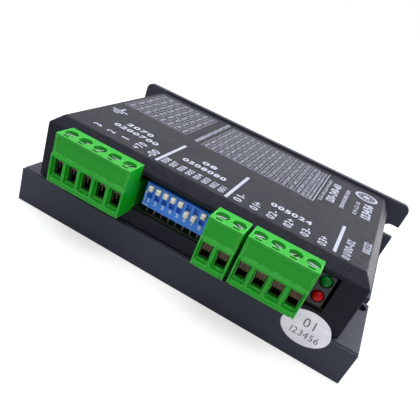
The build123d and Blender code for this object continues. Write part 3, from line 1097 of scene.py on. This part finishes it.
@dataclass
class Cover:
    """Folded sheet cover with its printed top."""

    edge: float = 0.45
    fold_segments: int = 3
    screw_edge: float = 0.12
    top: float = 33.1
    bar_half: float = 0.5
    bars: tuple[Triple, ...] = ((41.3, 5.5, 27.0), (64.8, 5.2, 27.0), (98.1, 6.3, 27.0))
    note_bases: Triple = (82.4, 83.6, 84.8)
    note_span: Span = (35.4, 68.4)
    note_height: float = 0.8
    note_weight: float = 0.01
    note_figures: int = 26
    corner_rules: tuple[tuple[Span, Span], ...] = (
        ((85.5, 85.8), (34.6, 69.0)), ((81.4, 85.8), (34.6, 34.9))
    )
    heading_base: float = 41.8
    heading_span: Span = (35.6, 70.2)
    heading_figures: int = 30
    dial: Triple = (101.3, 63.4, 4.3)
    dial_rim: float = 0.9
    dial_hub: float = 0.3
    dial_eye: float = 0.02
    dial_ticks: int = 12
    dial_tick: Triple = (0.45, 0.7, 0.2)
    earth: Span = (14.0, 28.6)
    earth_line: float = 0.35
    earth_stem: float = 3.6
    earth_bars: Triple = (3.0, 2.0, 1.0)
    earth_step: float = 1.5
    seed: int = 11

    def build(self) -> None:
        """Round its folds, coat it and print its top."""
        soft_copy("cover", CHASSIS, "black_powder_coat", POWDER, self.edge, self.fold_segments)
        soft_copy("cover_screws", CHASSIS, "plated_screw_steel", ZINC, self.screw_edge)
        self._print_tables()
        self._print_top()

    def _at(self, x: float, y: float) -> Vector:
        """Return a point on the top from its distances to the left end and the front."""
        return Vector((CASE_LEFT + x, CASE_FRONT + y, self.top))

    def _fill(self, piece: Piece, x: Span, y: Span) -> None:
        """Print one filled rectangle."""
        low, high = self._at(x[0], y[0]), self._at(x[1], y[1])
        piece.box((low.x, high.x), (low.y, high.y), (self.top, self.top + INK_THICK))

    def _set(self, piece: Piece, line: PrintLine) -> None:
        """Print one line of numerals.

        Args:
            piece: the printed piece.
            line: the line.
        """
        start, end = line.span
        level = line.reading is Reading.ALONG
        origin = self._at(start, line.base) if level else self._at(line.base, start)
        along, up = line.reading.value
        GLYPHS.set(piece, line.text, origin, along, up, end - start, line.height, line.weight)

    def _table(self, piece: Piece, table: PrintTable, draw: random.Random) -> None:
        """Print a ruled table filled with numerals.

        Args:
            piece: the printed piece.
            table: the table.
            draw: source of the numerals.
        """
        (left, right), (front, back) = table.x, table.y
        wide, deep = (right - left) / table.columns, (back - front) / table.rows
        half = table.rule / 2
        for i in range(table.columns + 1):
            at = left + i * wide
            self._fill(piece, (at - half, at + half), table.y)
        for j in range(table.rows + 1):
            at = front + j * deep
            self._fill(piece, table.x, (at - half, at + half))
        for i in range(table.columns):
            for j in range(table.rows):
                text = figures(draw, table.figures)
                base = left + i * wide + wide / 2 + table.height / 2
                low = front + j * deep + deep * table.margin
                span = (low, low + deep * (1 - 2 * table.margin))
                self._set(piece, PrintLine(text, base, span, table.height, table.weight))

    def _print_tables(self) -> None:
        """Print the two tables, the fine lines beside them and a corner rule."""
        fine = Piece("cover_print_tables")
        draw = random.Random(self.seed)
        for table in TABLES:
            self._table(fine, table, draw)
        for x in self.note_bases:
            text = figures(draw, self.note_figures, DIGITS + ".")
            self._set(fine, PrintLine(text, x, self.note_span, self.note_height, self.note_weight))
        for across, back in self.corner_rules:
            self._fill(fine, across, back)
        heading = figures(draw, self.heading_figures)
        self._set(fine, PrintLine(heading, self.heading_base, self.heading_span, 1.4))
        self._set(fine, PrintLine("0.5-1.0-2.0-4.0-8.0", 87.9, (38.6, 63.6), 1.2))
        fine.finish(CHASSIS, "black_powder_coat", FINE_INK, smooth=False)

    def _print_top(self) -> None:
        """Print bars, titles, terminal numbers and plain signs."""
        piece = Piece("cover_print")
        for x, low, high in self.bars:
            self._fill(piece, (x - self.bar_half, x + self.bar_half), (low, high))
        for line in TOP_PRINT:
            self._set(piece, line)
        self._dial(piece)
        self._earth(piece)
        piece.finish(CHASSIS, "black_powder_coat", INK, smooth=False)

    def _dial(self, piece: Piece) -> None:
        """Print a plain stepping dial: a broad ring, a hub and short ticks.

        Args:
            piece: the printed piece.
        """
        x, y, radius = self.dial
        middle = self._at(x, y)
        self._ring(piece, middle, radius, radius - self.dial_rim)
        self._ring(piece, middle, radius * self.dial_hub, self.dial_eye)
        near, far, half = self.dial_tick
        tick = ((near, -half), (far, -half), (far, half), (near, half))
        for a in circle(self.dial_ticks):
            out = Vector((math.cos(a), math.sin(a), 0)) * radius
            side = Vector((-math.sin(a), math.cos(a), 0))
            corners = [middle + out * share + side * width for share, width in tick]
            piece.solid([corners, [c + Z * INK_THICK for c in corners]])

    @staticmethod
    def _ring(piece: Piece, middle: Vector, outer: float, inner: float, steps: int = 40) -> None:
        """Print a flat ring as a closed skin.

        Args:
            piece: the printed piece.
            middle: its centre.
            outer: its outer radius.
            inner: its inner radius.
            steps: its sides.
        """
        section = ((outer, 0.0), (outer, INK_THICK), (inner, INK_THICK), (inner, 0.0))
        rows = [
            [
                piece.mesh.verts.new(middle + Vector((r * math.cos(a), r * math.sin(a), lift)))
                for a in circle(steps)
            ]
            for r, lift in section
        ]
        piece.skin([*rows, rows[0]])

    def _earth(self, piece: Piece) -> None:
        """Print a plain earth sign.

        Args:
            piece: the printed piece.
        """
        (x, y), line = self.earth, self.earth_line
        self._fill(piece, (x - line, x + line), (y, y + self.earth_stem))
        for i, half in enumerate(self.earth_bars):
            at = y - i * self.earth_step
            self._fill(piece, (x - half, x + half), (at - line, at + line))


@dataclass
class BoardAssembly:
    """The circuit board, what stands on it and what holds it."""

    edge: float = 0.08
    parts: dict[str, tuple[str, Finish, float]] = field(
        default_factory=lambda: {
            "board_standoffs": ("plated_screw_steel", ZINC, 0.15),
            "board_screws": ("plated_screw_steel", ZINC, 0.15),
            "power_transistors": ("chip_black", CHIP, 0.15),
            "thermal_pad": ("grey_silicone", SILICONE, 0.2),
            "bus_capacitors": ("capacitor_sleeve", SLEEVE, 0.1),
            "filter_inductor": ("ferrite", FERRITE, 0.2),
            "control_chip": ("chip_black", CHIP, 0.08),
            "optocouplers": ("chip_black", CHIP, 0.12),
            "shunt_resistors": ("resistor_black", RESISTOR, 0.1),
            "header_pins": ("tinned_pins", TIN, 0.12),
        }
    )

    def build(self) -> None:
        """Dress the board and round every part on it."""
        soft_copy("main_board", CHASSIS, "circuit_board", MASK_GREEN, self.edge)
        for node, (slot, finish, edge) in self.parts.items():
            soft_copy(node, CHASSIS, slot, finish, edge)


# --- what stands along the front -----------------------------------------------------------------


@dataclass
class SwitchBank:
    """Eight-pole DIP switch lying on its back edge, with numerals below its knobs."""

    poles: int = 8
    pitch: float = 2.54
    first: float = -14.74
    face: float = -35.75
    base: float = 19.8
    print_rise: float = 1.6
    numeral_size: Span = (1.1, 1.25)
    numeral_weight: float = 0.035
    arrow_left: float = 1.25
    arrow_half: float = 0.12
    arrow_stem: float = 3.0
    arrow_tip: tuple[Span, ...] = ((-0.5, 2.6), (0.5, 2.6), (0.0, 3.6))
    bar_across: Span = (-0.3, 1.7)
    bar_up: Span = (0.5, 0.75)
    case_edge: float = 0.1
    pin_edge: float = 0.06
    knob_edge: float = 0.16

    def build(self) -> None:
        """Round the case and the knobs, then print the case's front."""
        soft_copy("dip_body", CHASSIS, "switch_blue", SWITCH_BLUE, self.case_edge)
        soft_copy("dip_pins", CHASSIS, "tinned_pins", DULL_PIN, self.pin_edge)
        for pole in range(1, self.poles + 1):
            knob = f"dip_slider_{pole}"
            soft_copy(knob, knob, "slider_cream", SLIDER_CREAM, self.knob_edge)
        self._print()

    def _print(self) -> None:
        """Print pole numbers, and an arrow over a bar, on the case."""
        piece = Piece("switch_print")
        wide, tall = self.numeral_size
        z = self.base + self.print_rise
        for pole in range(self.poles):
            origin = Vector((self.first + pole * self.pitch - wide / 2, self.face, z))
            GLYPHS.set(piece, str(pole + 1), origin, X, Z, wide, tall, self.numeral_weight)
        x, skin = self.first - self.arrow_left, (self.face - INK_THICK, self.face)
        piece.box((x - self.arrow_half, x + self.arrow_half), skin, (z, z + self.arrow_stem))
        head = [Vector((x + right, self.face, z + rise)) for right, rise in self.arrow_tip]
        piece.solid([head, [p - Y * INK_THICK for p in head]])
        (left, right), (low, high) = self.bar_across, self.bar_up
        piece.box((x + left, x + right), skin, (self.base + low, self.base + high))
        piece.finish(CHASSIS, "switch_blue", WHITE_INK, smooth=False)


@dataclass
class LampBlock:
    """Two lamps in a black holder."""

    lamps: tuple[tuple[str, ResinFinish], ...] = (
        ("lamp_green", RESIN_GREEN), ("lamp_red", RESIN_RED)
    )
    edge: float = 0.15
    radius: float = 1.7
    heel_gap: float = 0.02
    heel_step: float = 0.2
    heel_eye: float = 0.02
    tip_eye: float = 0.03
    dome_steps: int = 10
    sides: int = 40

    def build(self) -> None:
        """Round the holder and turn each lamp's lens with its straight heel."""
        soft_copy("lamp_holder", CHASSIS, "holder_black", HOLDER_BLACK, self.edge)
        quarter = [math.pi / 2 * i / self.dome_steps for i in range(self.dome_steps)]
        for node, resin in self.lamps:
            low, high = (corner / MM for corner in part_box(node))
            back, crown = high.y - self.heel_gap, low.y + self.radius
            dome = [(self.radius * math.cos(a), crown - self.radius * math.sin(a)) for a in quarter]
            heel = [(self.heel_eye, back), (self.radius, back)]
            heel.append((self.radius, high.y - self.heel_step))
            lens = Piece(node + "_lens")
            centre = Vector(((low.x + high.x) / 2, 0, (low.z + high.z) / 2))
            lens.lathe(centre, Y, [*heel, *dome, (self.tip_eye, low.y)], self.sides)
            lens.finish(CHASSIS, node, resin, (node,))


@dataclass
class ScrewPlug:
    """One pull-off screw plug with its header, contacts, screws and clamps."""

    name: str
    poles: int
    left: float
    stand_off: float
    guard_width: float
    guard_drop: float
    pitch: float = 5.08
    home_line: float = -36.65
    guard_depth: Span = (6.95, 6.7)
    guard_top: float = 23.95
    guard_gap: float = 0.14
    guard_edge: float = 0.05
    slit_above: float = 1.0
    body_edge: float = 0.12
    contact_edge: float = 0.06
    screw_edge: float = 0.07
    clamp_edge: float = 0.08

    def build(self) -> None:
        """Round every piece of the plug and hang the wire guards in its funnels."""
        plug = f"{self.name}_plug"
        header, contacts = f"{self.name}_header", f"{self.name}_contacts"
        soft_copy(plug, plug, "terminal_green", PLUG_GREEN, self.body_edge)
        soft_copy(header, CHASSIS, "terminal_green", HEADER_GREEN, self.body_edge)
        soft_copy(contacts, plug, "contact_tin", CONTACT, self.contact_edge)
        for pole in range(1, self.poles + 1):
            screw, clamp = f"{self.name}_screw_{pole}", f"{self.name}_clamp_{pole}"
            soft_copy(screw, screw, "terminal_screw", SCREW_NICKEL, self.screw_edge)
            soft_copy(clamp, clamp, "clamp_metal", CLAMP, self.clamp_edge)
        self._guards(plug)

    def _guards(self, plug: str) -> None:
        """Hang a leaf from each contact, just behind the funnel's throat; a wide one is slit.

        Args:
            plug: the plug's body.
        """
        piece = Piece(f"{self.name}_wire_guards")
        home = self.home_line - self.stand_off
        depth = (home - self.guard_depth[0], home - self.guard_depth[1])
        height = (self.guard_top - self.guard_drop, self.guard_top)
        blades = 3 if self.guard_width > self.slit_above else 1
        blade = (self.guard_width - self.guard_gap * (blades - 1)) / blades
        for pole in range(self.poles):
            x = self.left + self.pitch * (pole + 0.5)
            for i in range(blades):
                low = x - self.guard_width / 2 + i * (blade + self.guard_gap)
                piece.box((low, low + blade), depth, height)
        piece.soften(self.guard_edge)
        piece.finish(plug, "contact_tin", GUARD)


@dataclass
class FoilSeal:
    """Oval foil seal across the seam, creased where it bridges the step."""

    x: float = 43.2
    z: float = 10.8
    half_width: float = 7.4
    half_height: float = 5.4
    thick: float = 0.12
    bed: float = 0.015
    cover_front: float = -36.45
    step_low: float = 11.95
    step_high: float = 14.3
    rings: int = 26
    steps: int = 96
    hub: float = 0.004
    creases: int = 14
    crease_reach: tuple[Span, ...] = ((-7, 7), (-5, 5), (0, math.pi), (0.5, 1.3))
    crease_lift: float = 0.05
    crease_width: float = 0.35
    crease_length: float = 2.2
    crease_most: float = 0.11
    rim_from: float = 0.98
    rim_lift: float = 0.4
    stamp: tuple[tuple[str, float, float, float], ...] = (
        ("01", 11.6, 4.0, 2.3), ("123456", 8.0, 9.6, 2.2)
    )
    stamp_right: float = 0.4
    cut_from: float = 11.9
    cut_step: float = 0.3
    cuts: int = 8
    seed: int = 5

    def build(self) -> None:
        """Lay the foil in rings, lift small creases and stamp numerals on it."""
        draw = random.Random(self.seed)
        creases = [
            tuple(draw.uniform(*span) for span in self.crease_reach) for _ in range(self.creases)
        ]
        piece = Piece("foil_seal_leaf")
        back, front = (self._sheet(piece, proud, creases) for proud in (0.0, self.thick * 0.5))
        for rows in (back, front):
            piece.skin(rows)
            piece.mesh.faces.new(rows[0])
        piece.skin([back[-1], front[-1]])
        leaf = piece.finish(CHASSIS, "silver_foil", FOIL, ("foil_seal",))
        leaf.modifiers.clear()
        self._stamp(creases)

    def _depth(self, z: float) -> float:
        """Find the surface that the foil lies on, a smooth step from heatsink to cover.

        Args:
            z: a height.

        Returns:
            The surface's Y at that height.
        """
        share = min(max((z - self.step_low) / (self.step_high - self.step_low), 0.0), 1.0)
        share *= share * (3.0 - 2.0 * share)
        return CASE_FRONT + (self.cover_front - CASE_FRONT) * share

    def _lift(self, dx: float, dz: float, creases: list[Crease]) -> float:
        """Find how far the creases lift the foil at a point.

        Args:
            dx: distance right of the centre.
            dz: distance above the centre.
            creases: place, direction and size of each crease.

        Returns:
            The lift in millimetres.
        """
        lift = 0.0
        for x, z, turn, size in creases:
            along = (dx - x) * math.cos(turn) + (dz - z) * math.sin(turn)
            across = -(dx - x) * math.sin(turn) + (dz - z) * math.cos(turn)
            fade = (across / self.crease_width) ** 2 + (along / self.crease_length) ** 2
            lift += self.crease_lift * size * math.exp(-fade)
        return min(lift, self.crease_most)

    def _sheet(self, piece: Piece, proud: float, creases: list[Crease]) -> list[list[Corner]]:
        """Lay the corners of one side of the foil.

        Args:
            piece: the foil.
            proud: how far this side stands off the back side.
            creases: place, direction and size of each crease.

        Returns:
            Rings of corners, from the middle out.
        """
        rows = []
        for ring in range(self.rings + 1):
            share = max(ring / self.rings, self.hub)
            held = 1.0 if share < self.rim_from else self.rim_lift
            row = []
            for a in circle(self.steps):
                dx = self.half_width * share * math.cos(a)
                dz = self.half_height * share * math.sin(a)
                lift = self._lift(dx, dz, creases) * held
                y = self._depth(self.z + dz) - self.bed - proud - lift
                row.append(piece.mesh.verts.new((self.x + dx, y, self.z + dz)))
            rows.append(row)
        return rows

    def _stamp(self, creases: list[Crease]) -> None:
        """Stamp lines of numerals that follow the foil.

        Args:
            creases: place, direction and size of each crease.
        """
        piece = Piece("foil_seal_stamp")
        for text, low, wide, tall in self.stamp:
            origin = Vector((self.x + self.stamp_right - wide / 2, 0.0, low))
            GLYPHS.set(piece, text, origin, X, Z, wide, tall, 0.0)
        for level in (self.cut_from + self.cut_step * i for i in range(self.cuts)):
            whole = [*piece.mesh.verts, *piece.mesh.edges, *piece.mesh.faces]
            bmesh.ops.bisect_plane(piece.mesh, geom=whole, plane_co=Z * level, plane_no=Z)
        for vert in piece.mesh.verts:
            lift = self._lift(vert.co.x - self.x, vert.co.z - self.z, creases)
            vert.co.y += self._depth(vert.co.z) - self.thick * 0.5 - INK_THICK - lift
        piece.finish(CHASSIS, "silver_foil", DARK_INK, smooth=False)


# --- the studio ----------------------------------------------------------------------------------


@dataclass(frozen=True)
class Panel:
    """A square soft light that faces the object, in metres and watts."""

    name: str
    place: Triple
    size: float
    power: float

    def hang(self) -> None:
        """Hang the panel."""
        data = bpy.data.lights.new(self.name, "AREA")
        data.shape = "SQUARE"
        data.size = self.size
        data.energy = self.power
        lamp = bpy.data.objects.new(self.name, data)
        lamp.location = self.place
        lamp.rotation_euler = (-Vector(self.place)).to_track_quat("-Z", "Y").to_euler()
        bpy.context.scene.collection.objects.link(lamp)


@dataclass
class Studio:
    """Pale floor, soft lights and the camera, whose place is in millimetres."""

    panels: tuple[Panel, ...] = (
        Panel("overhead_panel", (0.0, 0.15, 1.1), 1.2, 14.0),
        Panel("right_panel", (0.75, 0.8, 0.25), 0.7, 9.0),
    )
    place: Triple = (31.72, -154.166, 85.945)
    turn: float = 14.146
    tilt: float = 32.911
    roll: float = -21.857
    lens: float = 40.40
    sensor: float = 36.0
    nearest: float = 0.01
    shift: Span = (0.0722, 0.1349)
    floor_size: float = 40.0
    floor_drop: float = 0.1
    floor_tones: tuple[Colour, Colour] = ((0.5, 0.5, 0.5), (0.47, 0.47, 0.47))
    floor_roughness: float = 0.9
    floor_gloss: float = 0.1
    mottle_scale: float = 6.0
    floor_glow: float = 0.6
    mirrored_glow: float = 0.4
    sky: Colour = (0.97, 0.98, 1.0)
    sky_ahead: Triple = (0.1, 0.75, 0.65)
    sky_turn: Span = (-0.5, 0.9)
    sky_strength: Span = (0.5, 1.0)
    white: Colour = (1.0, 1.0, 1.0)

    def build(self) -> None:
        """Set up the floor, the lights and the camera."""
        self._floor()
        self._world()
        for panel in self.panels:
            panel.hang()
        self._camera()

    def _floor(self) -> None:
        """Lay the pale floor with a faint mottle."""
        sheet = bmesh.new()
        bmesh.ops.create_grid(sheet, x_segments=8, y_segments=8, size=self.floor_size)
        data = bpy.data.meshes.new("floor")
        sheet.to_mesh(data)
        sheet.free()
        floor = bpy.data.objects.new("floor", data)
        floor.location.z = -self.floor_drop * MM
        bpy.context.scene.collection.objects.link(floor)
        made, book, shader = start_material("pale_floor")
        shader.inputs["Roughness"].default_value = self.floor_roughness
        shader.inputs["Specular IOR Level"].default_value = self.floor_gloss
        shader.inputs["Emission Color"].default_value = (*self.white, 1.0)
        mottle = book.noise(book.add("TexCoord").outputs["Object"], self.mottle_scale, 2.0)
        book.join(book.blend(mottle, *self.floor_tones), shader.inputs["Base Color"])
        path = book.add("LightPath").outputs
        seen = book.sum(
            "MULTIPLY_ADD", path["Is Glossy Ray"], self.mirrored_glow, path["Is Camera Ray"]
        )
        glow = book.sum("MULTIPLY", seen, self.floor_glow)
        book.join(glow, shader.inputs["Emission Strength"])
        data.materials.append(made)

    def _world(self) -> None:
        """Fill with soft white light, stronger from above and behind."""
        world = bpy.data.worlds.new("soft_room")
        bpy.context.scene.world = world
        world.use_nodes = True
        world.node_tree.nodes.clear()
        book = NodeBook(world.node_tree)
        out = book.add("OutputWorld")
        glow = book.add("Background")
        ahead = book.add("VectorMath", operation="DOT_PRODUCT")
        ahead.inputs[1].default_value = self.sky_ahead
        book.join(book.add("TexCoord").outputs["Generated"], ahead.inputs[0])
        shine = book.ramp(ahead.outputs["Value"], self.sky_turn, self.sky_strength)
        seen = book.add("LightPath").outputs["Is Camera Ray"]
        book.join(book.blend(seen, self.sky, self.white), glow.inputs["Color"])
        book.join(book.sum("MAXIMUM", shine, seen), glow.inputs["Strength"])
        book.join(glow.outputs[0], out.inputs[0])

    def _camera(self) -> None:
        """Place the camera and make it the scene's."""
        data = bpy.data.cameras.new("view")
        data.lens = self.lens
        data.sensor_width = self.sensor
        data.shift_x, data.shift_y = self.shift
        data.clip_start = self.nearest
        camera = bpy.data.objects.new("view", data)
        az, el, roll = (math.radians(v) for v in (self.turn, self.tilt, self.roll))
        level_share, drop = math.cos(el), math.sin(el)
        ahead = Vector((-math.sin(az) * level_share, math.cos(az) * level_share, -drop))
        level = ahead.cross(Z).normalized()
        above = level.cross(ahead)
        right = level * math.cos(roll) - above * math.sin(roll)
        up = level * math.sin(roll) + above * math.cos(roll)
        turn = Matrix((right, up, -ahead)).transposed().to_4x4()
        camera.matrix_world = Matrix.Translation(Vector(self.place) * MM) @ turn
        bpy.context.scene.collection.objects.link(camera)
        bpy.context.scene.camera = camera
        bpy.context.scene.view_settings.view_transform = "Standard"


def main() -> None:
    """Build every sub-assembly in order."""
    logging.basicConfig(level=logging.INFO, format="%(message)s")
    for assembly in (
        Studio(),
        Heatsink(),
        Cover(),
        BoardAssembly(),
        SwitchBank(),
        LampBlock(),
        ScrewPlug("motor", 5, -44.15, 0.0, guard_width=0.3, guard_drop=2.3),
        ScrewPlug("enable", 2, 6.75, 1.1, guard_width=2.4, guard_drop=2.2),
        ScrewPlug("pulse", 4, 18.05, 0.6, guard_width=2.6, guard_drop=2.2),
        FoilSeal(),
    ):
        LOG.info("building %s", type(assembly).__name__)
        assembly.build()


if __name__ == "__main__":
    main()
